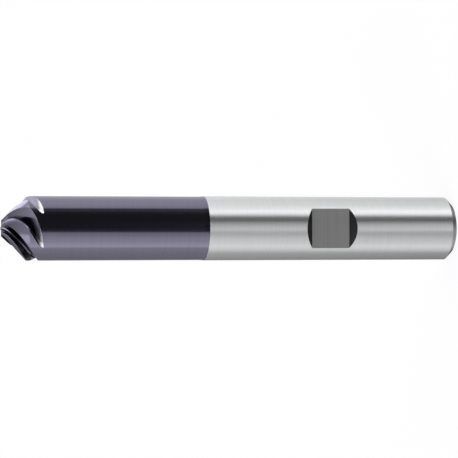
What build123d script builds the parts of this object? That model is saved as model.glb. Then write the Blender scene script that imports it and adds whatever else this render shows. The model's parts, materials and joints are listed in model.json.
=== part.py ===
# Pointed end mill of solid tungsten carbide, for chamfers and deburring.
# One ground blank: a plain shank with a side-lock flat, a neck, and a 90 degree cutting
# point with five right-hand spiral flutes that run out just behind the cone.
# Millimetres. The origin is the centre of the shank's end face and +Z runs along the axis
# to the tip, so the tool stands on its shank. The side-lock flat faces -Y.
import os
from math import asin, cos, degrees, pi, radians, tan

from build123d import *

# Whole tool
overall_length = 72.0
shank_diameter = 10.0
shank_length = 40.4
neck_clearance = 0.05
neck_lead_length = 0.7
end_chamfer = 0.9

# Cutting point
point_angle = 90.0
tip_flat_diameter = 2.5

# Side-lock flat: a level floor with a sloping wall at each end
flat_length = 6.0
flat_centre_height = 20.8
flat_depth = 1.08
flat_wall_angle = 45.0

# Direction of the seam in the round faces, in degrees from +X, clear of the flat
seam_angle = -22.5

# Flutes, counted clockwise as seen from the tip. They are spaced a little unevenly, so
# that the teeth don't strike in a steady beat.
flute_count = 5
flute_lead = 19.0
first_flute_angle = -19.7
spacing_shift = 4.0
flute_depth_at_tip = 0.75
flute_depth_at_shoulder = 2.0
run_out_length = 2.3
face_offset = 0.5
root_radius_at_tip = 0.5
root_radius_at_run_out = 1.2
back_slope_at_tip = 50.0
back_slope_at_run_out = -5.0

# Relief behind each cutting edge on the cone
margin_width = 0.35
relief_angle = 5.0
relief_reach = 0.65

# How far a cut starts and ends outside the blank, and how many planes shape it
overrun = 0.5
flute_planes = 12
relief_planes = 7

shank_radius = shank_diameter / 2
neck_radius = shank_radius - neck_clearance
tip_radius = tip_flat_diameter / 2
cone_slope = tan(radians(point_angle / 2))
cone_length = (neck_radius - tip_radius) / cone_slope
flute_length = cone_length + run_out_length
flute_pitch = 360 / flute_count


def polar(radius, angle):
    """Point at this radius and angle, in degrees."""
    return Vector(radius, 0).rotate(Axis.Z, angle)


def blank():
    """The ground bar, before the flat and the flutes."""
    profile_plane = Plane(
        origin=(0, 0, 0),
        x_dir=polar(1, seam_angle),
        z_dir=polar(1, seam_angle - 90),
    )
    with BuildPart() as bar:
        with BuildSketch(profile_plane):
            Polygon(
                (0, 0),
                (shank_radius - end_chamfer, 0),
                (shank_radius, end_chamfer),
                (shank_radius, shank_length),
                (neck_radius, shank_length + neck_lead_length),
                (neck_radius, overall_length - cone_length),
                (tip_radius, overall_length),
                (0, overall_length),
                align=None,
            )
        revolve(axis=Axis.Z)
    return bar.part


def side_lock_flat():
    """What is ground away for the clamping screw: a trapezium right across the shank."""
    floor = shank_radius - flat_depth
    height = flat_depth + overrun
    half_floor = flat_length / 2
    half_mouth = half_floor + height * tan(radians(flat_wall_angle))
    with BuildPart() as cut:
        with BuildSketch(Plane.YZ):
            Polygon(
                (-floor, flat_centre_height - half_floor),
                (-floor, flat_centre_height + half_floor),
                (-floor - height, flat_centre_height + half_mouth),
                (-floor - height, flat_centre_height - half_mouth),
                align=None,
            )
        extrude(amount=shank_radius + overrun, both=True)
    return cut.part


def cone_radius(depth):
    """Radius of the cone, or of the cone carried on, this far behind the tip."""
    return tip_radius + depth * cone_slope


def core_radius(depth):
    """Radius to which a flute is cut: a parabola that leaves the neck at the run-out."""
    at_tip = tip_radius - flute_depth_at_tip
    at_shoulder = neck_radius - flute_depth_at_shoulder
    shoulder_rate = (at_shoulder - at_tip) / cone_length
    exit_rate = (neck_radius - at_tip) / flute_length
    bend = (exit_rate - shoulder_rate) / run_out_length
    return at_tip + depth * (shoulder_rate + bend * (depth - cone_length))


def section_plane(depth, shoulder_angle):
    """Plane this far behind the tip, turned with the spiral from its angle at the shoulder."""
    turn = 360 / flute_lead * (cone_length - depth)
    return Plane(
        origin=(0, 0, overall_length - depth),
        x_dir=polar(1, shoulder_angle + turn),
        z_dir=(0, 0, 1),
    )


def depths(last, count):
    """Evenly spaced depths, from just ahead of the tip to the last one."""
    step = (last + overrun) / (count - 1)
    return [index * step - overrun for index in range(count)]


def flute_section(depth, shoulder_angle):
    """Section of a flute: straight cutting face, round root and the back of the next tooth."""
    run = min(max(depth / flute_length, 0), 1)
    ease = (1 - run**2) ** 2
    slope = back_slope_at_run_out + (back_slope_at_tip - back_slope_at_run_out) * ease
    root = root_radius_at_tip + (root_radius_at_run_out - root_radius_at_tip) * run
    reach = neck_radius + overrun
    centre = Vector(core_radius(depth) + root, root - face_offset)
    face_inner = centre + Vector(0, -root)
    face_outer = face_inner + Vector(reach, 0)
    root_middle = centre - polar(root, (90 - slope) / 2)
    root_end = centre + polar(root, 180 - slope)
    back_outer = root_end + polar(reach, 90 - slope)
    with BuildSketch(section_plane(depth, shoulder_angle)) as section:
        with BuildLine():
            Line(face_outer, face_inner)
            ThreePointArc(face_inner, root_middle, root_end)
            Line(root_end, back_outer)
            Line(back_outer, face_outer)
        make_face()
    return section.sketch


def relief_section(depth, shoulder_angle):
    """Section of the sliver ground off the land, from the margin to past the tooth's heel."""
    radius = cone_radius(depth)
    edge = -degrees(asin(min(face_offset / radius, 1)))
    sweep = relief_reach * flute_pitch
    land = radius * radians(sweep)
    rise = margin_width * tan(radians(relief_angle))
    fall = land * tan(radians(relief_angle)) - rise
    outside = radius + overrun
    start, middle, end = edge, edge - sweep / 2, edge - sweep
    with BuildSketch(section_plane(depth, shoulder_angle)) as section:
        with BuildLine():
            ThreePointArc(
                polar(radius + rise, start),
                polar(radius + (rise - fall) / 2, middle),
                polar(radius - fall, end),
            )
            Line(polar(radius - fall, end), polar(outside, end))
            ThreePointArc(polar(outside, end), polar(outside, middle), polar(outside, start))
            Line(polar(outside, start), polar(radius + rise, start))
        make_face()
    return section.sketch


def spiral_cut(section, last, planes, shoulder_angle):
    """Solid that follows the spiral through one section at each of the planes."""
    return loft([section(depth, shoulder_angle) for depth in depths(last, planes)])


end_mill = blank() - side_lock_flat()
for index in range(flute_count):
    shift = spacing_shift * cos(radians(2 * index * flute_pitch))
    angle = first_flute_angle - index * flute_pitch - shift
    end_mill -= spiral_cut(flute_section, flute_length + overrun, flute_planes, angle)
    end_mill -= spiral_cut(relief_section, cone_length + overrun, relief_planes, angle)

os.makedirs("parts", exist_ok=True)
export_step(end_mill, "parts/end_mill.step")
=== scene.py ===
# %% [markdown]
# # A pointed end mill
# The real tool is one bar of solid carbide, ground all over: a bare shank with a clamping
# flat, and a coated neck that ends in a 90 degree point with five spiral flutes.
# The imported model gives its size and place. It is loaded first, because everything
# that is made below has to lie exactly where it is.

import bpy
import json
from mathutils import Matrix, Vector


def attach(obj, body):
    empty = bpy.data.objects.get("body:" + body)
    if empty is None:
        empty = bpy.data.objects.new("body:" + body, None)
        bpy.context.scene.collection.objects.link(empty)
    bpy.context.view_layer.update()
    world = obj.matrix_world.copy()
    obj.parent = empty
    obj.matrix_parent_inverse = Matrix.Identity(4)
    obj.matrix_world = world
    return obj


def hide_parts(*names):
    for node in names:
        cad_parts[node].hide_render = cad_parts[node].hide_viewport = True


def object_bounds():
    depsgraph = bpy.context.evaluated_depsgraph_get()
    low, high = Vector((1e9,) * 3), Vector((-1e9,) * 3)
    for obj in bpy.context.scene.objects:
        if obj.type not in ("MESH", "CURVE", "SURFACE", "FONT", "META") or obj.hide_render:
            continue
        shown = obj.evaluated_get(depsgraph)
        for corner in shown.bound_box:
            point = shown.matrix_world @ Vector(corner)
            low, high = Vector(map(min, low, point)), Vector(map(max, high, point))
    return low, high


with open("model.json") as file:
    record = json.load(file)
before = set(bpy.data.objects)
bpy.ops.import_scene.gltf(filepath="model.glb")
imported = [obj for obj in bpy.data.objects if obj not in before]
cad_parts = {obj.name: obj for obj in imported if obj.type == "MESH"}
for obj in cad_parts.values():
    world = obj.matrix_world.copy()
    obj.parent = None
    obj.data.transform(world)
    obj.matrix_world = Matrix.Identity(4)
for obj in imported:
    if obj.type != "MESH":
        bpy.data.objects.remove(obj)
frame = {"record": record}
frame_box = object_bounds()

# %% [markdown]
# A tool drawing is in millimetres and Blender works in metres. So lengths are given in
# millimetres here, and `MM` turns them into metres where they go into Blender.

# %% Name the tool and the unit
import json
import math

import bpy
from mathutils import Matrix, Vector

TOOL = "end_mill"
MM = 0.001
print("frame box in mm:", [round(x / MM, 3) for corner in frame_box for x in corner])

# %% [markdown]
# The model's record states the shank and the clamping flat, since a tool holder has to fit
# them. Their sizes are read from it, so that the picture can't drift away from the part.
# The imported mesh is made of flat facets, so its box is a few thousandths of a millimetre
# smaller than the round bar in some directions. The skin made below stays a hair inside it.

# %% Read the sizes that the record states
HAIR = 0.001
mounts = {mount["name"]: mount for mount in frame["record"]["mounts"]}
box_side = min(frame_box[1].x - frame_box[0].x, frame_box[1].y - frame_box[0].y) / MM
overall_length = frame_box[1].z / MM - HAIR
shank_radius = min(mounts["shank"]["dims"]["r_mm"], box_side / 2) - HAIR
shank_length = mounts["shank"]["dims"]["length_mm"]
flat_distance = -mounts["clamping_flat"]["pos_m"][1] / MM
flat_height = mounts["clamping_flat"]["pos_m"][2] / MM
print("length", round(overall_length, 2), "shank radius", shank_radius, "flat at", flat_distance)

# %% [markdown]
# ## Arithmetic that builds nodes
# Both the shape and the finishes of a ground tool follow formulas. Wiring Math nodes by
# hand hides a formula, so one function, `calc`, takes either plain numbers or node sockets.
# With numbers it gives a number, with sockets it adds a Math node. The class `Value` wraps a
# socket and lets Python's own operators call `calc`. Every other node comes from `add_node`.


# %% Sockets that can be used in arithmetic
class Value:
    """A socket that can be added, multiplied and so on."""

    def __init__(self, tree, socket):
        self.tree = tree
        self.socket = socket

    def __add__(self, other):
        return calc("ADD", self, other)

    def __radd__(self, other):
        return calc("ADD", other, self)

    def __sub__(self, other):
        return calc("SUBTRACT", self, other)

    def __rsub__(self, other):
        return calc("SUBTRACT", other, self)

    def __mul__(self, other):
        return calc("MULTIPLY", self, other)

    def __rmul__(self, other):
        return calc("MULTIPLY", other, self)

    def __truediv__(self, other):
        return calc("DIVIDE", self, other)

    def __rtruediv__(self, other):
        return calc("DIVIDE", other, self)

    def __neg__(self):
        return calc("MULTIPLY", self, -1.0)

    def __gt__(self, other):
        return calc("GREATER_THAN", self, other)

    def __lt__(self, other):
        return calc("GREATER_THAN", other, self)


def output(tree, node, name=0):
    """One output of a node, ready for arithmetic."""
    return Value(tree, node.outputs[name])


print("a socket can stand on either side of + - * /")

# %% One way to add any node, and one way to calculate
PLAIN = {
    "MINIMUM": min,
    "MAXIMUM": max,
    "SQRT": math.sqrt,
    "SINE": math.sin,
    "COSINE": math.cos,
    "TANGENT": math.tan,
    "ARCCOSINE": math.acos,
    "ARCTAN2": math.atan2,
}


def add_node(tree, kind, settings=None, values=None):
    """Add a node: its settings first, then the numbers or sockets that go into it."""
    node = tree.nodes.new(kind)
    for name, setting in (settings or {}).items():
        setattr(node, name, setting)
    for name, value in (values or {}).items():
        if isinstance(value, Value):
            tree.links.new(value.socket, node.inputs[name])
        else:
            node.inputs[name].default_value = value
    return node


def calc(operation, *values):
    """The result of one operation: a number for numbers, and a new Math node's for sockets."""
    sockets = [value for value in values if isinstance(value, Value)]
    if not sockets:
        return PLAIN[operation](*values)
    tree = sockets[0].tree
    settings = {"operation": operation}
    node = add_node(tree, "ShaderNodeMath", settings, dict(enumerate(values)))
    return Value(tree, node.outputs[0])


print("calc('SQRT', 2.0) gives", round(calc("SQRT", 2.0), 4))


# %% Small formulas that both the shape and the finishes use
def clamp(value, low=0.0, high=1.0):
    return calc("MINIMUM", calc("MAXIMUM", value, low), high)


def blend(start, end, share):
    """The value that lies this share of the way from start to end."""
    return start + (end - start) * share


def ease(share):
    """The same way from 0 to 1, but with a gentle start and a gentle end."""
    return share * share * (3 - 2 * share)


print("a tenth of the way, eased, is", round(ease(0.1), 3))

# %% [markdown]
# ## Camera
# The photograph looks at the lying tool from a little towards its tip. The tool stands
# here, so the camera is rolled a quarter turn: the picture's left is up the tool's axis.
# A long lens far away keeps the two ends nearly the same size, as in the photograph.
# The distance and the aim were fitted to the tool's place in the picture. Only the near
# and far limits are in metres, as Blender takes them.

# %% Camera
PICTURE_SIZE = 458
FOCAL_PIXELS = 2000.0
SENSOR_WIDTH = 36.0
TILT = math.radians(13.5)
DISTANCE = 313.6
AIM_HEIGHT = 36.255
AIM_UP_PIXELS = 0.6
NEAR_LIMIT = 0.01
FAR_LIMIT = 20

camera_data = bpy.data.cameras.new("camera")
camera_data.sensor_width = SENSOR_WIDTH
camera_data.lens = SENSOR_WIDTH * FOCAL_PIXELS / PICTURE_SIZE
camera_data.shift_y = -AIM_UP_PIXELS / PICTURE_SIZE
camera_data.clip_start = NEAR_LIMIT
camera_data.clip_end = FAR_LIMIT
camera = bpy.data.objects.new("camera", camera_data)
bpy.context.scene.collection.objects.link(camera)
bpy.context.scene.camera = camera

towards_camera = Vector((0, -math.cos(TILT), math.sin(TILT)))
picture_up = Vector((1, 0, 0))
picture_right = picture_up.cross(towards_camera)
aim = Vector((0, 0, AIM_HEIGHT * MM))
turn = Matrix((picture_right, picture_up, towards_camera)).transposed()
camera.matrix_world = Matrix.Translation(aim + towards_camera * DISTANCE * MM) @ turn.to_4x4()
print("lens", round(camera_data.lens, 1), "mm, camera at", [round(x, 3) for x in camera.location])

# %% [markdown]
# ## The tool's skin
# The whole tool is one surface that follows a rule, so it is made as one grid wrapped round
# the axis, with Geometry Nodes. Its rows run round the tool and its columns along it.
# In the point, one fifth of the columns belongs to each flute and the tooth behind it:
# the cutting face, the round root, the back, the land and the narrow margin that leads
# up to the next cutting edge. Rows and columns lie on every edge, which keeps edges crisp
# and lets the surfaces between them be shaded smoothly.
# Cutting five flutes out of a bar with booleans would also work, but it leaves long thin
# faces, and polished metal shows each of them.
# The sizes that the record doesn't state are the ones that the part itself was drawn with.

# %% Sizes of the tool, in millimetres and degrees
END_CHAMFER = 0.9
FLAT_HALF_LENGTH = 3.0
sizes = {
    "Overall length": overall_length,
    "Shank radius": shank_radius,
    "Shank top": shank_length + END_CHAMFER,
    "End chamfer": END_CHAMFER,
    "Neck clearance": 0.05,
    "Neck lead length": 0.7,
    "Flat distance": flat_distance,
    "Flat height": flat_height,
    "Flat half length": FLAT_HALF_LENGTH,
    "Tip radius": 1.25,
    "Flute lead": 19.0,
    "First flute angle": -19.7,
    "Spacing shift": 4.0,
    "Flute depth at tip": 0.75,
    "Flute depth at shoulder": 2.0,
    "Run-out length": 2.3,
    "Face offset": 0.5,
    "Root radius at tip": 0.5,
    "Root radius at run-out": 1.2,
    "Back slope at tip": 50.0,
    "Back slope at run-out": -5.0,
    "Margin width": 0.35,
    "Relief angle": 5.0,
}
print(len(sizes), "sizes, shank top at", sizes["Shank top"])


# %% Sizes that follow from the others
def with_derived(size):
    """Add the neck's radius, and the lengths of the 45 degree cone and of a whole flute."""
    neck = size["Shank radius"] - size["Neck clearance"]
    cone = neck - size["Tip radius"]
    flute = cone + size["Run-out length"]
    return size | {"Neck radius": neck, "Cone length": cone, "Flute length": flute}


plain = with_derived(sizes)
print("cone", round(plain["Cone length"], 3), "flute", round(plain["Flute length"], 3))

# %% Columns: how many belong to each part of a tooth
FLUTES = 5
FACE, ROOT, BACK, LAND, MARGIN = 6, 14, 20, 34, 6
FLUTE_COLUMNS = FACE + ROOT + BACK
TOOTH_COLUMNS = FLUTE_COLUMNS + LAND + MARGIN
COLUMNS = FLUTES * TOOTH_COLUMNS
print(COLUMNS, "columns,", TOOTH_COLUMNS, "for each tooth")

# %% Rows: how many lie between one station along the axis and the next
ROWS = {
    "end face": 3,
    "end chamfer": 2,
    "shank below the flat": 6,
    "lower wall of the flat": 3,
    "floor of the flat": 8,
    "upper wall of the flat": 3,
    "shank above the flat": 6,
    "lead to the neck": 1,
    "neck": 12,
    "run-outs": 44,
    "cone": 56,
}
ROW_COUNT = sum(ROWS.values()) + 1
print(ROW_COUNT, "rows")

# %% [markdown]
# ## The section of a flute
# A grinding wheel cuts each flute as it moves along the tool and up out of the bar. The
# flute is deepest at the shoulder, where the cone meets the neck, and runs out just behind
# it. `depth` is the distance behind the tip. Each rule below works on plain numbers and on
# sockets alike, so it can be tried out here before it goes into the node tree.


# %% Radii of the ground bar and of what is cut from it
def radians(angle):
    return angle * (math.pi / 180)


def cone_radius(size, depth):
    """Radius of the cone, or of the cone carried on, this far behind the tip."""
    return size["Tip radius"] + depth


def blank_radius(size, depth):
    """Radius of the ground bar before its flutes."""
    return calc("MINIMUM", cone_radius(size, depth), size["Neck radius"])


def core_radius(size, depth):
    """Radius to which a flute is cut: a parabola that leaves the neck at the run-out."""
    at_tip = size["Tip radius"] - size["Flute depth at tip"]
    at_shoulder = size["Neck radius"] - size["Flute depth at shoulder"]
    shoulder_rate = (at_shoulder - at_tip) / size["Cone length"]
    exit_rate = (size["Neck radius"] - at_tip) / size["Flute length"]
    bend = (exit_rate - shoulder_rate) / size["Run-out length"]
    return at_tip + depth * (shoulder_rate + bend * (depth - size["Cone length"]))


def land_radius(size, depth, behind):
    """Radius of the relieved land at this angle behind its cutting edge."""
    relief = calc("TANGENT", radians(size["Relief angle"]))
    rise = size["Margin width"] * relief
    ground = cone_radius(size, depth) * (1 - relief * behind) + rise
    return calc("MINIMUM", ground, blank_radius(size, depth))


print("core radius at the shoulder", round(core_radius(plain, plain["Cone length"]), 3))

# %% [markdown]
# Seen along the axis, a flute starts at the cutting edge with a straight face, turns through
# a round root, and climbs along the back of the next tooth. In the section's own plane the
# face runs along the first axis, so it leaves the root three quarters of a turn round. Near
# the run-out the flute is shallow and only part of the root's arc is left, so the arc's two
# ends are limited to where its circle meets the bar.


# %% The round root of a flute
FACE_SIDE = 1.5 * math.pi


def angle_of(point):
    return calc("ARCTAN2", point[1], point[0])


def root_arc(size, depth):
    """Round root of a flute: centre, radius, where its arc starts and ends, and the slope."""
    run = clamp(depth / size["Flute length"])
    fall = 1 - run * run
    tip_slope = radians(size["Back slope at tip"])
    slope = blend(radians(size["Back slope at run-out"]), tip_slope, fall * fall)
    blank = blank_radius(size, depth)
    root = blend(size["Root radius at tip"], size["Root radius at run-out"], run)
    centre = (core_radius(size, depth) + root, root - size["Face offset"])
    off_axis = calc("SQRT", centre[0] * centre[0] + centre[1] * centre[1])
    inside = (blank * blank - off_axis * off_axis - root * root) / (2 * off_axis * root)
    reach = calc("ARCCOSINE", clamp(inside, -1.0, 1.0))
    middle = angle_of(centre) + math.pi
    arc_end = calc("MAXIMUM", math.pi - slope, middle - math.pi + reach)
    arc_start = calc("MINIMUM", FACE_SIDE, middle + math.pi - reach)
    return centre, root, calc("MAXIMUM", arc_start, arc_end), arc_end, slope


def on_root(centre, root, angle):
    """Point of the root's arc, in the plane of the section."""
    return centre[0] + root * calc("COSINE", angle), centre[1] + root * calc("SINE", angle)


print("root radius at the shoulder", round(root_arc(plain, plain["Cone length"])[1], 3))

# %% [markdown]
# The tooth's heel lies where the flute's back meets the relieved land, and the land's radius
# there depends on how far back the heel is. So the two are worked out in turn, a few times.

# %% The cutting edge, the heel and the whole section
HEEL_PASSES = 3


def edge_point(size, depth, face_inner):
    """Where the straight cutting face leaves the bar: the cutting edge."""
    blank = blank_radius(size, depth)
    squared = blank * blank - face_inner[1] * face_inner[1]
    return calc("SQRT", calc("MAXIMUM", squared, 0.0)), face_inner[1]


def heel_point(back_inner, slope, radius):
    """Where the flute's straight back meets a circle of this radius."""
    across, along = calc("SINE", slope), calc("COSINE", slope)
    near = back_inner[0] * across + back_inner[1] * along
    squared = back_inner[0] * back_inner[0] + back_inner[1] * back_inner[1]
    inside = near * near - squared + radius * radius
    way = calc("SQRT", calc("MAXIMUM", inside, 0.0)) - near
    return back_inner[0] + across * way, back_inner[1] + along * way


def flute_section(size, depth, pitch):
    """Everything that places the columns of one flute and of the land beside it."""
    centre, root, arc_start, arc_end, slope = root_arc(size, depth)
    face_inner = on_root(centre, root, arc_start)
    back_inner = on_root(centre, root, arc_end)
    edge = edge_point(size, depth, face_inner)
    radius = blank_radius(size, depth)
    for _ in range(HEEL_PASSES):
        heel = heel_point(back_inner, slope, radius)
        land_width = pitch + angle_of(edge) - angle_of(heel)
        radius = land_radius(size, depth, land_width)
    return {
        "centre": centre,
        "root": root,
        "arc_start": arc_start,
        "arc_end": arc_end,
        "face_inner": face_inner,
        "back_inner": back_inner,
        "edge": edge,
        "heel": heel,
        "land_width": land_width,
    }


even_pitch = 2 * math.pi / FLUTES
shoulder = flute_section(plain, plain["Cone length"], even_pitch)
shoulder_gap = even_pitch - shoulder["land_width"]
print("flute width at the shoulder, degrees:", round(math.degrees(shoulder_gap), 2))

# %% [markdown]
# ## From row and column to a place
# A point of the grid knows only its number, and so its row and its column. A row's height
# is a sum of ramps, one for each stretch between two stations. The rows beside the flat bend
# along its walls, and the row at the shoulder bends along the line where the relieved cone
# meets the neck.


# %% Ramps along the rows, and a choice between two values
def ramp(position, start, count):
    """0 up to the start, then rising to 1 over this many steps."""
    return clamp((position - start) / count)


def station_ramps(row):
    """One ramp for each stretch of rows, in order from the end face to the tip."""
    ramps, start = {}, 0
    for name, count in ROWS.items():
        ramps[name] = ramp(row, float(start), float(count))
        start += count
    return ramps


def row_of(name):
    """Number of the row at which a stretch starts."""
    names = list(ROWS)
    return sum(ROWS[before] for before in names[: names.index(name)])


def choose(test, when_true, when_false):
    """One of two values, by a test that is 0 or 1."""
    return when_false + test * (when_true - when_false)


print("the run-outs start at row", row_of("run-outs"))

# %% [markdown]
# The five flutes are spaced a little unevenly, so that the teeth don't strike in a steady
# beat. All of them turn with one spiral. On the shank the columns are even instead, apart
# from those on the flat, which are drawn together so that one lies on each of its long edges.

# %% Where the flutes and the flat lie round the tool
RUN_OUT_SPARE = 0.5
FLAT_HALF_COLUMNS = 43
FLAT_DIRECTION = 1.5 * math.pi


def flute_angle(size, tooth):
    """Direction of a flute's section at the shoulder."""
    number = tooth * even_pitch
    shift = radians(size["Spacing shift"]) * calc("COSINE", 2 * number)
    return radians(size["First flute angle"]) + number - shift


def spiral_turn(size, depth):
    """How far the spiral has turned between the shoulder and this depth."""
    return (size["Cone length"] - depth) * (2 * math.pi) / size["Flute lead"]


def middle_of_flat():
    """The column that meets the flat's middle with the least twist in the neck."""
    deepest = plain["Flute length"] + RUN_OUT_SPARE
    first_column = flute_angle(plain, 0) + spiral_turn(plain, deepest)
    from_first = (FLAT_DIRECTION - first_column) % (2 * math.pi)
    return round(from_first / even_pitch * TOOTH_COLUMNS)


def shank_angle(size, column):
    """Even columns on the shank, with one on each long edge of the flat."""
    half_flat = calc("ARCCOSINE", size["Flat distance"] / size["Shank radius"])
    inner_step = half_flat / FLAT_HALF_COLUMNS
    outer_step = (math.pi - half_flat) / (COLUMNS / 2 - FLAT_HALF_COLUMNS)
    from_middle = column - middle_of_flat()
    inner = clamp(from_middle, -float(FLAT_HALF_COLUMNS), float(FLAT_HALF_COLUMNS))
    return inner * inner_step + (from_middle - inner) * outer_step + FLAT_DIRECTION


print("the flat is centred on column", middle_of_flat())

# %% [markdown]
# The relief grinds the land a little below the cone, and more so further behind the cutting
# edge. So the ground cone meets the neck later there, and the shoulder is a slanting line.


# %% The height of every point
def shoulder_depth(size, column, pitch):
    """How far behind the tip this column crosses the line between the cone and the neck."""
    relief = calc("TANGENT", radians(size["Relief angle"]))
    rise = size["Margin width"] * relief
    margin = size["Margin width"] / size["Neck radius"]
    land = pitch - shoulder_gap
    in_flute = ramp(column, 0.0, float(FLUTE_COLUMNS))
    on_land = ramp(column, float(FLUTE_COLUMNS), float(LAND))
    on_margin = ramp(column, float(FLUTE_COLUMNS + LAND), float(MARGIN))
    behind = in_flute * land + on_land * (margin - land) - on_margin * margin
    ground = (size["Neck radius"] - rise) / (1 - relief * behind) - size["Tip radius"]
    return calc("MAXIMUM", ground, size["Cone length"])


def heights(size, ramps, around, shoulder_at):
    """Height of a point from its row, with the bent rows at the flat and at the shoulder."""
    across = calc("COSINE", around + math.pi / 2) * size["Shank radius"]
    wall = calc("MAXIMUM", across - size["Flat distance"], 0.0)
    floor_low = size["Flat height"] - size["Flat half length"]
    floor_high = size["Flat height"] + size["Flat half length"]
    stations = {
        "end face": 0.0,
        "end chamfer": size["End chamfer"],
        "shank below the flat": floor_low - wall,
        "lower wall of the flat": floor_low,
        "floor of the flat": floor_high,
        "upper wall of the flat": floor_high + wall,
        "shank above the flat": size["Shank top"],
        "lead to the neck": size["Shank top"] + size["Neck lead length"],
        "neck": size["Overall length"] - size["Flute length"] - RUN_OUT_SPARE,
        "run-outs": size["Overall length"] - shoulder_at,
        "cone": size["Overall length"],
    }
    height, before = 0.0, 0.0
    for name, station in stations.items():
        height = height + ramps[name] * (station - before)
        before = station
    return height


heel_shoulder = shoulder_depth(plain, FLUTE_COLUMNS, even_pitch)
print("the cone reaches", round(heel_shoulder, 3), "mm behind the tip at a heel")

# %% [markdown]
# In the head, each column keeps to one share of the way along the face, the root, the back
# or the land of its tooth. Where a flute has run out, half of the columns would lie in the
# narrow strip where it ended, so they even out over the last half millimetre before the
# plain neck.


# %% The outline of every row, as a radius and an angle
def outline(size, depth, column, pitch):
    """Radius and angle of a column's point in the flute's own plane."""
    part = flute_section(size, depth, pitch)
    along_face = ramp(column, 0.0, float(FACE))
    along_root = ramp(column, float(FACE), float(ROOT))
    along_back = ramp(column, float(FACE + ROOT), float(BACK))
    arc_angle = blend(part["arc_start"], part["arc_end"], along_root)
    arc = on_root(part["centre"], part["root"], arc_angle)
    cut = []
    for axis in (0, 1):
        before_root = (part["edge"][axis] - part["face_inner"][axis]) * (1 - along_face)
        after_root = (part["heel"][axis] - part["back_inner"][axis]) * along_back
        cut.append(arc[axis] + before_root + after_root)
    reach = calc("SQRT", cut[0] * cut[0] + cut[1] * cut[1])
    cut_radius = calc("MINIMUM", reach, blank_radius(size, depth))
    on_land = ramp(column, float(FLUTE_COLUMNS), float(LAND))
    on_margin = ramp(column, float(FLUTE_COLUMNS + LAND), float(MARGIN))
    margin = size["Margin width"] / blank_radius(size, depth)
    behind = blend(part["land_width"], margin, on_land) - on_margin * margin
    is_land = column > FLUTE_COLUMNS + 0.5
    radius = choose(is_land, land_radius(size, depth, behind), cut_radius)
    angle = choose(is_land, pitch + angle_of(part["edge"]) - behind, angle_of(cut))
    even = angle_of(part["edge"]) + pitch * (column / float(TOOTH_COLUMNS))
    past_flute = clamp((depth - size["Flute length"]) / RUN_OUT_SPARE)
    return radius, blend(angle, even, past_flute)


edge_radius = outline(plain, plain["Cone length"], 0, even_pitch)[0]
print("cutting edge at the shoulder: radius", round(edge_radius, 3))

# %% [markdown]
# ## The node tree
# The tree has a named input for every size and finish, so the same rule could make a tool
# with another lead, relief or depth of flute. `step` adds a node to this tree and gives its
# result. Whole numbers are compared with a half, such as row 43.5, because what comes out
# of a division can be off by a rounding error.
# A point's number gives its row, and its line: the grid's column, counted round the whole
# tool. From that come its tooth and its column within the tooth.

# %% Start the tree with its named inputs
FINISHES = ("Bare carbide", "Flat floor", "Coating")
tool_tree = bpy.data.node_groups.new("ground_tool", "GeometryNodeTree")
interface = tool_tree.interface
for name in sizes:
    interface.new_socket(name=name, in_out="INPUT", socket_type="NodeSocketFloat")
for name in FINISHES:
    interface.new_socket(name=name, in_out="INPUT", socket_type="NodeSocketMaterial")
interface.new_socket(name="Geometry", in_out="OUTPUT", socket_type="NodeSocketGeometry")
tree_inputs = add_node(tool_tree, "NodeGroupInput")
size = with_derived({name: output(tool_tree, tree_inputs, name) for name in sizes})
print(len(interface.items_tree) - 1, "inputs and one output")


# %% Number the rows, the columns and the teeth
def step(kind, settings=None, values=None, result=0):
    """Add a node to the tool's tree and give one of its outputs."""
    return output(tool_tree, add_node(tool_tree, kind, settings, values), result)


index = step("GeometryNodeInputIndex")
line = calc("FLOOR", (index + 0.5) / ROW_COUNT)
row = index - line * ROW_COUNT
tooth = calc("FLOOR", (line + 0.5) / TOOTH_COLUMNS)
column = line - tooth * TOOTH_COLUMNS
print((COLUMNS + 1) * ROW_COUNT, "points in the grid")

# %% Work out the height, and the section of the flutes at that height
flute_at = flute_angle(size, tooth)
pitch = flute_angle(size, tooth + 1.0) - flute_at
ramps = station_ramps(row)
shank_at = shank_angle(size, line)
height = heights(size, ramps, shank_at, shoulder_depth(size, column, pitch))
deepest = size["Flute length"] + RUN_OUT_SPARE
depth = calc("MINIMUM", size["Overall length"] - height, deepest)
cut_radius, cut_angle = outline(size, depth, column, pitch)
flute_around = flute_at + spiral_turn(size, depth) + cut_angle
print(len(tool_tree.nodes), "nodes up to here")

# %% [markdown]
# Below the run-outs the tool is a plain bar with a chamfer at its end. The columns swing
# over from the shank's even spacing to the flutes' own along the neck, where it can't be
# seen, because the neck is round.

# %% Work out the radius and the direction of every point
bar_radius = ramps["end face"] * (size["Shank radius"] - size["End chamfer"])
bar_radius = bar_radius + ramps["end chamfer"] * size["End chamfer"]
bar_radius = bar_radius - ramps["lead to the neck"] * size["Neck clearance"]
in_head = row > row_of("run-outs") - 0.5
radius = choose(in_head, cut_radius, bar_radius)
around = blend(shank_at, flute_around, ease(ramps["neck"]))
print(len(tool_tree.nodes), "nodes up to here")

# %% [markdown]
# The flat is ground last. A point may not lie further out on the flat's side than its floor
# or, past the floor's ends, than the 45 degree walls that climb from it.

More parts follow.
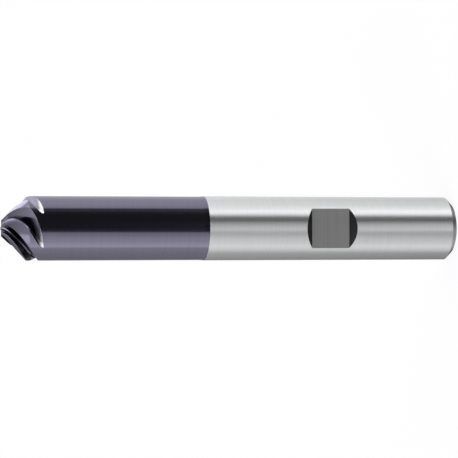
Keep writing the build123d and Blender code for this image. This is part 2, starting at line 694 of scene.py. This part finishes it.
# %% Grind the flat and place the grid's points
past_floor = height - size["Flat height"]
past_floor = calc("MAXIMUM", past_floor, -past_floor) - size["Flat half length"]
floor = size["Flat distance"] + calc("MAXIMUM", past_floor, 0.0)
place = {
    "X": radius * calc("COSINE", around) * MM,
    "Y": calc("MAXIMUM", radius * calc("SINE", around), -floor) * MM,
    "Z": height * MM,
}
grid_size = {"Vertices X": COLUMNS + 1, "Vertices Y": ROW_COUNT}
grid = step("GeometryNodeMeshGrid", values=grid_size)
position = step("ShaderNodeCombineXYZ", values=place)
skin = step("GeometryNodeSetPosition", values={"Geometry": grid, "Position": position})
print(len(tool_tree.nodes), "nodes up to here")

# %% [markdown]
# The coating's painted shade, painted highlights and worn edges need to know where a point
# lies on its tooth, which a height alone can't tell.
# The tree knows it here, so it notes it down at every point as named attributes: how deep
# the point lies below the bar in millimetres, how far it is across its flute from the
# cutting edge to the heel and along it from the tip to the run-out, and whether it is on
# an edge. Outside the head there are no flutes, so there the way along is past the end.

# %% Note where each point lies on its tooth
EDGE_FADE = 0.3
PAST_THE_END = 1.5
in_flute = in_head * (column < FLUTE_COLUMNS + 0.5)
from_edge = calc("MINIMUM", column, TOOTH_COLUMNS - column)
from_heel = calc("MAXIMUM", column - FLUTE_COLUMNS, FLUTE_COLUMNS - column)
before_end = in_head * clamp((size["Flute length"] - depth) / EDGE_FADE)
notes = {
    "hollow": in_flute * (blank_radius(size, depth) - cut_radius),
    "across_flute": in_flute * column / FLUTE_COLUMNS,
    "along_flute": choose(in_head, depth / size["Flute length"], PAST_THE_END),
    "on_edge": before_end * clamp(1 - calc("MINIMUM", from_edge, from_heel)),
}
for name, value in notes.items():
    settings = {"data_type": "FLOAT", "domain": "POINT"}
    values = {"Geometry": skin, "Name": name, "Value": value}
    skin = step("GeometryNodeStoreNamedAttribute", settings, values)
print("notes:", list(notes))

# %% [markdown]
# The grid's first row is one point on the end face, and in the head its first and last
# columns lie on each other, so merging by distance closes that pole and the seam there. The
# last row is the rim of the small flat at the tip, and a filled curve covers it.
# Below the head the seam stays open, since the last column laps over the first by up to
# 0.03 mm. The seam crosses the flat there, where the columns are a little closer together,
# and only those on one side of it allow for that. A seam behind the tool would close.

# %% Close the seam and the tip
WELD = 0.001
closed = step("GeometryNodeMergeByDistance", values={"Geometry": skin, "Distance": WELD * MM})
split = {"Vector": step("GeometryNodeInputPosition")}
spot = add_node(tool_tree, "ShaderNodeSeparateXYZ", values=split)
x, y, z = (output(tool_tree, spot, name) / MM for name in "XYZ")
at_tip = z > size["Overall length"] - WELD
rim = step("GeometryNodeMeshToCurve", values={"Mesh": closed, "Selection": at_tip})
fill = step("GeometryNodeFillCurve", values={"Curve": rim})
lift = step("ShaderNodeCombineXYZ", values={"Z": size["Overall length"] * MM})
cap = step("GeometryNodeTransform", values={"Geometry": fill, "Translation": lift})
join = add_node(tool_tree, "GeometryNodeJoinGeometry")
for piece in (cap, closed):
    tool_tree.links.new(piece.socket, join.inputs[0])
values = {"Geometry": output(tool_tree, join), "Distance": WELD * MM}
whole = step("GeometryNodeMergeByDistance", values=values)
print(len(tool_tree.nodes), "nodes up to here")

# %% [markdown]
# Ground surfaces are smooth and meet at crisp edges. Faces that meet at more than a set
# angle get a sharp edge, and so do the two ends of the lead, where the bend is too slight
# for that test.

# %% Shade smoothly, apart from the real edges
CRISP_BEND = math.radians(22)
LEAD_BAND = 0.01
whole = step("GeometryNodeSetShadeSmooth", values={"Geometry": whole, "Shade Smooth": True})
bend = step("GeometryNodeInputMeshEdgeAngle", result="Unsigned Angle")
lead_ends = 0.0
for station in (size["Shank top"], size["Shank top"] + size["Neck lead length"]):
    off = calc("MAXIMUM", z - station, station - z)
    lead_ends = lead_ends + (off < LEAD_BAND)
sharp = calc("MAXIMUM", bend > CRISP_BEND, lead_ends)
values = {"Geometry": whole, "Selection": sharp, "Shade Smooth": False}
whole = step("GeometryNodeSetShadeSmooth", {"domain": "EDGE"}, values)
print("edges are crisp from", round(math.degrees(CRISP_BEND)), "degrees")

# %% [markdown]
# Three finishes go on by place: bare carbide everywhere, then the flat where the surface
# lies inside the round of the shank and above its chamfer, then the coating from the top of
# the shank up. Each takes over from the one before it.

# %% Give each region its finish
INSIDE_ROUND = 0.003
ABOVE_CHAMFER = 0.1
off_axis = calc("SQRT", x * x + y * y)
inside_round = off_axis < size["Shank radius"] - INSIDE_ROUND
regions = {
    "Bare carbide": True,
    "Flat floor": inside_round * (z > size["End chamfer"] + ABOVE_CHAMFER),
    "Coating": z > size["Shank top"],
}
whole = step("GeometryNodeRealizeInstances", values={"Geometry": whole})
for name in FINISHES:
    finish = output(tool_tree, tree_inputs, name)
    values = {"Geometry": whole, "Selection": regions[name], "Material": finish}
    whole = step("GeometryNodeSetMaterial", values=values)
add_node(tool_tree, "NodeGroupOutput", values={"Geometry": whole})
print(len(tool_tree.nodes), "nodes in all")

# %% [markdown]
# ## Finishes
# All of the tool is the same carbide, and what differs is how it was ground and whether it
# is coated, apart from shade and highlights that are painted into the chamfer, the flat's
# end walls and the coating. Every surface was finished by a grinding wheel, which leaves
# fine parallel lines: round the shank, the neck and the cone, and across the flat. The lines
# could be an image, but noise that is stretched round the tool has no seam and no resolution.
# It is made from Object coordinates, so the lines stay at their real size.


# %% Helpers for a material's tree
def soft_step(value, place, width):
    """0 below and 1 above a soft change of this width, with its middle at this place."""
    return ease(clamp((value - (place - width / 2)) / width))


def material_tree(name, constants):
    """A new material and its Principled shader, with the values that are the same all over."""
    material = bpy.data.materials.new(name)
    material.use_nodes = True
    tree = material.node_tree
    tree.nodes.clear()
    shader = add_node(tree, "ShaderNodeBsdfPrincipled", {}, constants)
    result = add_node(tree, "ShaderNodeOutputMaterial")
    tree.links.new(shader.outputs["BSDF"], result.inputs["Surface"])
    return material, tree, shader


def into(tree, shader, **values):
    """Link what varies over the surface into the shader."""
    for name, value in values.items():
        tree.links.new(value.socket, shader.inputs[name.replace("_", " ")])


def note(tree, name):
    """A number that the tool's tree noted at every point."""
    return output(tree, add_node(tree, "ShaderNodeAttribute", {"attribute_name": name}), "Fac")


def place_in_mm(tree):
    """The point being shaded, in millimetres: across, towards the back, and up the axis."""
    spot = add_node(tree, "ShaderNodeTexCoord")
    split = add_node(tree, "ShaderNodeSeparateXYZ", {}, {"Vector": output(tree, spot, "Object")})
    return [output(tree, split, name) / MM for name in "XYZ"]


print("half way through a soft step:", soft_step(1.0, 1.0, 0.5))

# %% [markdown]
# A Mix node set to colours has ten inputs, most of them for other kinds of value. Numbers
# pick the share and the two colours among them.

# %% Colours, noise and bump
MIX_SHARE = 0
MIX_FIRST = 6
MIX_SECOND = 7
MIX_RESULT = 2


def mix_colour(tree, share, first, second):
    """A colour between two colours."""
    values = {MIX_SHARE: share, MIX_FIRST: first, MIX_SECOND: second}
    node = add_node(tree, "ShaderNodeMix", {"data_type": "RGBA"}, values)
    return output(tree, node, MIX_RESULT)


def noise(tree, x, y, z):
    """Noise from 0 to 1, about 0.5 on average, at a point whose unit is one grain."""
    point = add_node(tree, "ShaderNodeCombineXYZ", {}, {"X": x, "Y": y, "Z": z})
    values = {"Vector": output(tree, point), "Scale": 1.0, "Detail": 2.0}
    return output(tree, add_node(tree, "ShaderNodeTexNoise", {}, values), "Fac")


def grinding_lines(tree, fine, broad, fine_share):
    """Fine and broad lines, each given as grains to the millimetre: round and along."""
    x, y, z = place_in_mm(tree)
    fine_lines = noise(tree, x * fine[0], y * fine[0], z * fine[1])
    broad_lines = noise(tree, x * broad[0], y * broad[0], z * broad[1])
    return fine_lines * fine_share + broad_lines * (1 - fine_share)


def lined_colour(tree, lines, contrast, dull, bright):
    """The ground surface's colour, from dull to bright with the lines."""
    return mix_colour(tree, clamp((lines - 0.5) * contrast + 0.5), dull, bright)


def bump(tree, height, distance):
    """A normal from a height that is given as a share of a distance in millimetres."""
    values = {"Height": height, "Distance": distance * MM}
    return output(tree, add_node(tree, "ShaderNodeBump", {}, values))


print("mixed colours come out of socket", MIX_RESULT)

# %% [markdown]
# ### Bare carbide
# The shank is ground round and round, so its fine lines spread a reflection along the tool
# and not round it. That is anisotropy, and a quarter turn lays it across the lines. The
# chamfer looks darker than the rest, and that shade is painted into its colour as a grey.

# %% Bare carbide
SHANK_DULL = (0.72, 0.73, 0.735, 1)
SHANK_BRIGHT = (0.81, 0.82, 0.825, 1)
CHAMFER_SHADE_GREY = (0.5, 0.5, 0.505, 1)
CHAMFER_EDGE = 0.06
SHANK_CONTRAST = 2
SHANK_ROUGHNESS = (0.37, 0.43)
SHANK_LINE_DEPTH = 0.0003

constants = {"Metallic": 1.0, "Anisotropic": 0.9, "Anisotropic Rotation": 0.25}
bare, tree, shader = material_tree("bare_carbide", constants)
lines = grinding_lines(tree, fine=(0.05, 14.0), broad=(0.02, 2.2), fine_share=0.6)
shank_colour = lined_colour(tree, lines, SHANK_CONTRAST, SHANK_DULL, SHANK_BRIGHT)
# Painted shade: the chamfer is coloured a darker grey than the rest of the shank.
on_chamfer = 1 - soft_step(place_in_mm(tree)[2], END_CHAMFER, CHAMFER_EDGE)
into(
    tree,
    shader,
    Base_Color=mix_colour(tree, on_chamfer, shank_colour, CHAMFER_SHADE_GREY),
    Roughness=blend(*SHANK_ROUGHNESS, lines),
    Normal=bump(tree, lines, SHANK_LINE_DEPTH),
)
print("bare carbide:", len(tree.nodes), "nodes")

# %% [markdown]
# ### The flat
# The flat is ground in straight passes with a coarser wheel, so it is darker and rougher
# than the shank. Its two sloping end walls look almost black in the photograph, where they
# mirror nothing bright. They are painted dark here, so that they stay so from any side.

# %% The flat
FLOOR_DULL = (0.27, 0.27, 0.27, 1)
FLOOR_BRIGHT = (0.36, 0.36, 0.36, 1)
WALL_DARK = (0.06, 0.06, 0.06, 1)
WALL_START = 0.03
WALL_EDGE = 0.06
FLOOR_CONTRAST = 2.5
FLOOR_ROUGHNESS = (0.4, 0.52)
FLOOR_LINE_DEPTH = 0.001

constants = {"Metallic": 1.0, "Anisotropic": 0.8, "Anisotropic Rotation": 0.25}
floor_finish, tree, shader = material_tree("flat_floor", constants)
lines = grinding_lines(tree, fine=(0.1, 13.0), broad=(0.05, 4.0), fine_share=0.5)
up = place_in_mm(tree)[2]
from_middle = calc("MAXIMUM", up - flat_height, flat_height - up)
on_wall = soft_step(from_middle, FLAT_HALF_LENGTH + WALL_START, WALL_EDGE)
floor_colour = lined_colour(tree, lines, FLOOR_CONTRAST, FLOOR_DULL, FLOOR_BRIGHT)
into(
    tree,
    shader,
    Base_Color=mix_colour(tree, on_wall, floor_colour, WALL_DARK),
    Roughness=blend(*FLOOR_ROUGHNESS, lines),
    Normal=bump(tree, lines, FLOOR_LINE_DEPTH),
)
print("flat:", len(tree.nodes), "nodes")

# %% [markdown]
# ### The hard coating
# A violet-grey coating a few thousandths of a millimetre thick covers the neck and the
# point. It is as smooth as the ground carbide under it, so it is a nearly polished metal
# with faint lines.
# The flutes have near-black roots and bright run-outs. Soft boxes alone can't put that shade
# and those highlights at the same places, so they are painted into the colour as painted
# shade and painted highlights, placed by the notes that the tree left. Each change has a
# place and a width. Across a flute, 0 is the cutting edge and 1 the heel. Along it, 0 is the
# tip and 1 the end of the run-out.

# %% The coating's ground surface, and where a point lies in its flute
COAT_DULL = (0.232, 0.217, 0.3, 1)
COAT_BRIGHT = (0.268, 0.253, 0.34, 1)
COAT_CONTRAST = 2

coating, tree, shader = material_tree("hard_coating", {"Metallic": 1.0})
lines = grinding_lines(tree, fine=(0.08, 12.0), broad=(0.03, 1.6), fine_share=0.5)
colour = lined_colour(tree, lines, COAT_CONTRAST, COAT_DULL, COAT_BRIGHT)
hollow, across, along, on_edge = (note(tree, name) for name in notes)
print("the coating reads", list(notes))

# %% Where the flutes get painted shade and painted highlights
HOLLOW = (0.06, 0.08)
BESIDE_ROOT = (0.6, 0.16)
ROOT_NARROWS = (0.82, 0.16)
NARROWS_BY = 0.42
ROOT_SHADE_ALONG = (0.2, 0.1)
HIGHLIGHT_STREAK_NEAR = (0.3, 0.06)
HIGHLIGHT_STREAK_FAR = (0.42, 0.06)
HIGHLIGHT_STREAK_ALONG = (0.5, 0.2)
RUN_OUT_HIGHLIGHT = (0.74, 0.2)
RUN_OUT_END_HIGHLIGHT = (0.9, 0.08)
TIP_SHADE_ENDS = (0.34, 0.6)

cut = soft_step(hollow, *HOLLOW)
narrowing = soft_step(along, *ROOT_NARROWS) * NARROWS_BY
beside_root = soft_step(across + narrowing, *BESIDE_ROOT)
on_back = cut * beside_root
# Painted shade: the flutes' roots are darkened where shade falls in them.
root_shade = cut * (1 - beside_root) * soft_step(along, *ROOT_SHADE_ALONG)
# Painted highlight: a streak along each flute where the painted root shade is left out.
highlight_streak = soft_step(across, *HIGHLIGHT_STREAK_NEAR) * (1 - soft_step(across, *HIGHLIGHT_STREAK_FAR))
highlight_streak = highlight_streak * soft_step(along, *HIGHLIGHT_STREAK_ALONG)
# Painted highlight: the backs are paler where the flute runs out, and rougher there too.
run_out_highlight = on_back * soft_step(along, *RUN_OUT_HIGHLIGHT)
# Painted shade: the point is darker, fading out along the flutes.
tip_shade = 1 - soft_step(along, *TIP_SHADE_ENDS)
print("the run-out's tone is half in at", RUN_OUT_HIGHLIGHT[0], "of the flute")

# %% [markdown]
# The tones go on one over the other: painted shade that darkens the point, painted black
# shade in the roots that leaves a paler painted highlight streak, paler backs where the flute
# runs out and nearly white at the very end, both painted highlights, and a little bare carbide
# along the edges, where the coating wears first, which also stands for their highlight. Each
# has a share, which says how far it covers the tones under it.

# %% The coating's tones: painted shade, painted highlights and worn edges
TIP_SHADE_SHARE = 0.7
ROOT_SHADE_SHARE = 0.85
HIGHLIGHT_STREAK_SHARE = 0.9
WEAR_AND_HIGHLIGHT_SHARE = 0.3
COAT_ROUGHNESS = (0.08, 0.16)
RUN_OUT_ROUGHER = 0.35
COAT_LINE_DEPTH = 0.0002

# The painted root shade, lighter where the painted highlight streak runs.
root_shade_share = root_shade * (1 - HIGHLIGHT_STREAK_SHARE * highlight_streak) * ROOT_SHADE_SHARE
# The tip's and the root's colours are painted shade, the run-out's and the end's are painted
# highlights, and the worn edge is bare carbide that also stands for an edge highlight.
tones = {
    "tip": (tip_shade * TIP_SHADE_SHARE, (0.1, 0.093, 0.125, 1)),
    "root": (root_shade_share, (0.02, 0.018, 0.026, 1)),
    "run-out": (run_out_highlight, (0.3, 0.285, 0.36, 1)),
    "end": (on_back * soft_step(along, *RUN_OUT_END_HIGHLIGHT), (0.95, 0.95, 0.97, 1)),
    "worn edge": (on_edge * WEAR_AND_HIGHLIGHT_SHARE, (0.6, 0.6, 0.64, 1)),
}
for share, tone in tones.values():
    colour = mix_colour(tree, share, colour, tone)
into(
    tree,
    shader,
    Base_Color=colour,
    Roughness=blend(*COAT_ROUGHNESS, lines) + run_out_highlight * RUN_OUT_ROUGHER,
    Normal=bump(tree, lines, COAT_LINE_DEPTH),
)
print("coating:", list(tones))

# %% [markdown]
# ## From the tree to a plain mesh
# A modifier runs the tree. Its inputs are set by the sockets' identifiers before it is
# evaluated, and the result is kept as a plain mesh, so that nothing about the finished piece
# depends on a modifier. An empty material slot that comes with the result is taken out.


# %% Run the tree and keep its result
def made_by(tree, name, values):
    """A plain mesh object made by a node tree with these input values."""
    holder = bpy.data.objects.new(name, bpy.data.meshes.new(name))
    bpy.context.scene.collection.objects.link(holder)
    modifier = holder.modifiers.new("rule", "NODES")
    modifier.node_group = tree
    for item in tree.interface.items_tree:
        if item.item_type == "SOCKET" and item.in_out == "INPUT":
            modifier[item.identifier] = values[item.name]
    graph = bpy.context.evaluated_depsgraph_get()
    mesh = bpy.data.meshes.new_from_object(holder.evaluated_get(graph), depsgraph=graph)
    while None in list(mesh.materials):
        mesh.materials.pop(index=list(mesh.materials).index(None))
    holder.modifiers.remove(modifier)
    holder.data = mesh
    mesh.name = name
    return holder


finishes = dict(zip(FINISHES, (bare, floor_finish, coating)))
tool = made_by(tool_tree, "ground_end_mill", sizes | finishes)
print(len(tool.data.vertices), "points,", len(tool.data.polygons), "faces")
print("finishes:", [m.name for m in tool.data.materials])

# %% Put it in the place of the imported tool
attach(tool, "root")
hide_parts(TOOL)
print(tool.name, "stands for", TOOL)

# %% [markdown]
# ## Floor and studio
# The photograph has a white ground all round. The floor glows towards the camera, so that
# it looks white without more light on the tool, and a tenth of it stays a plain matt surface
# that takes the tool's shadow. It is left out of mirror reflections, because the tool in
# the photograph lies clear of any floor and mirrors only the studio.

# %% The floor
FLOOR_HALF = 6.0
FLOOR_GLOW = 0.9
FLOOR_WHITE = (0.92, 0.92, 0.92, 1)
floor_mesh = bpy.data.meshes.new("studio_floor")
corners = [(-1, -1), (1, -1), (1, 1), (-1, 1)]
places = [(x * FLOOR_HALF, y * FLOOR_HALF, 0) for x, y in corners]
floor_mesh.from_pydata(places, [], [(0, 1, 2, 3)])
studio_floor = bpy.data.objects.new("studio_floor", floor_mesh)
bpy.context.scene.collection.objects.link(studio_floor)
studio_floor.visible_glossy = False
print("floor:", 2 * FLOOR_HALF, "m square")

# %% The floor's material
floor_white = bpy.data.materials.new("floor_white")
floor_white.use_nodes = True
floor_mesh.materials.append(floor_white)
tree = floor_white.node_tree
tree.nodes.clear()
matt = add_node(tree, "ShaderNodeBsdfDiffuse", {}, {"Color": FLOOR_WHITE})
glow = add_node(tree, "ShaderNodeEmission", {}, {"Strength": 1.0})
seen = output(tree, add_node(tree, "ShaderNodeLightPath"), "Is Camera Ray")
values = {0: seen * FLOOR_GLOW, 1: output(tree, matt), 2: output(tree, glow)}
mixed = output(tree, add_node(tree, "ShaderNodeMixShader", {}, values))
add_node(tree, "ShaderNodeOutputMaterial", {}, {"Surface": mixed})
print("the floor glows by", FLOOR_GLOW)

# %% [markdown]
# The bright and dark bands on the tool are the studio's soft boxes and the gaps between
# them, mirrored in polished metal. Lamps of the right shape could make them, but a lamp near
# the tool lights its two ends unevenly. So the boxes are drawn into the world by direction,
# as if they hung far away, and each band keeps its place along the whole tool. Since the
# tool is round, a change of direction round it is what makes a band along it.
# Directions are in degrees. `turned` goes round the tool from the side of its flat, and
# `raised` goes from straight down to straight up. Each ring of boxes is a level of light
# that changes at some places: (place, width of the change, next level).


# %% Directions in the world
def levels(value, first, changes):
    """A level that changes softly at each of these places."""
    result, before = first, first
    for place, width, level in changes:
        result = result + soft_step(value, place, width) * (level - before)
        before = level
    return result


DEGREES = 180 / math.pi
world = bpy.data.worlds.new("studio")
bpy.context.scene.world = world
world.use_nodes = True
tree = world.node_tree
tree.nodes.clear()
spot = add_node(tree, "ShaderNodeTexCoord")
split = add_node(tree, "ShaderNodeSeparateXYZ", {}, {"Vector": output(tree, spot, "Generated")})
x, y, z = (output(tree, split, name) for name in "XYZ")
turned = calc("ARCTAN2", -x, -y) * DEGREES
raised = calc("ARCTAN2", z, calc("SQRT", x * x + y * y)) * DEGREES
print("a full turn is", round(2 * math.pi * DEGREES), "degrees")

# %% Soft boxes, ring by ring from below to above
underneath = levels(turned, 0.3, [(-150, 20, 0.05), (132, 10, 1.4), (170, 10, 0.7)])
low_boxes = levels(turned, 0.05, [
    (-122, 16, 0.4), (-92, 16, 1.5), (-77, 6, 3.0), (-50, 10, 0.1), (-22, 20, 1.8),
    (-2, 10, 2.0), (10, 8, 0.5), (20, 10, 0.05), (44, 20, 0.5), (66, 20, 1.0), (98, 16, 0.0),
])
level_boxes = levels(turned, 0.3, [
    (-160, 16, 0.8), (-90, 20, 0.68), (-77, 6, 0.1), (-62, 16, 0.03), (4, 14, 0.07),
    (14, 7, 0.5), (30, 30, 0.8), (55, 20, 1.03), (73, 7, 0.66), (95, 40, 0.5), (132, 40, 0.3),
])
middle_boxes = levels(turned, 0.2, [
    (-168, 10, 2.4), (-128, 8, 2.2), (-98, 10, 1.9), (-55, 6, 0.03), (-2, 12, 1.1),
    (12, 10, 0.85), (80, 20, 0.9), (105, 10, 0.8), (140, 20, 0.3),
])
high_boxes = levels(turned, 0.6, [
    (-156, 6, 1.2), (-144, 8, 0.9), (-130, 6, 1.0), (-120, 5, 2.4), (-102, 8, 0.9),
    (-62, 6, 1.0), (-20, 10, 0.1), (28, 8, 3.8), (66, 6, 0.8), (95, 6, 1.3), (118, 6, 0.8),
])
overhead = 0.6
print(len(tree.nodes), "nodes draw the boxes")

# %% Stack the rings, and show the camera plain white
boxes = underneath
for place, width, ring in (
    (-46, 10, low_boxes),
    (-19, 3, level_boxes),
    (9, 4, middle_boxes),
    (39, 6, high_boxes),
    (72, 8, overhead),
):
    boxes = blend(boxes, ring, soft_step(raised, place, width))
camera_ray = output(tree, add_node(tree, "ShaderNodeLightPath"), "Is Camera Ray")
values = {"Color": (1, 1, 1, 1), "Strength": blend(boxes, 1.0, camera_ray)}
background = output(tree, add_node(tree, "ShaderNodeBackground", {}, values))
add_node(tree, "ShaderNodeOutputWorld", {}, {"Surface": background})
bpy.context.scene.view_settings.view_transform = "Standard"
print("colours are shown as", bpy.context.scene.view_settings.view_transform)
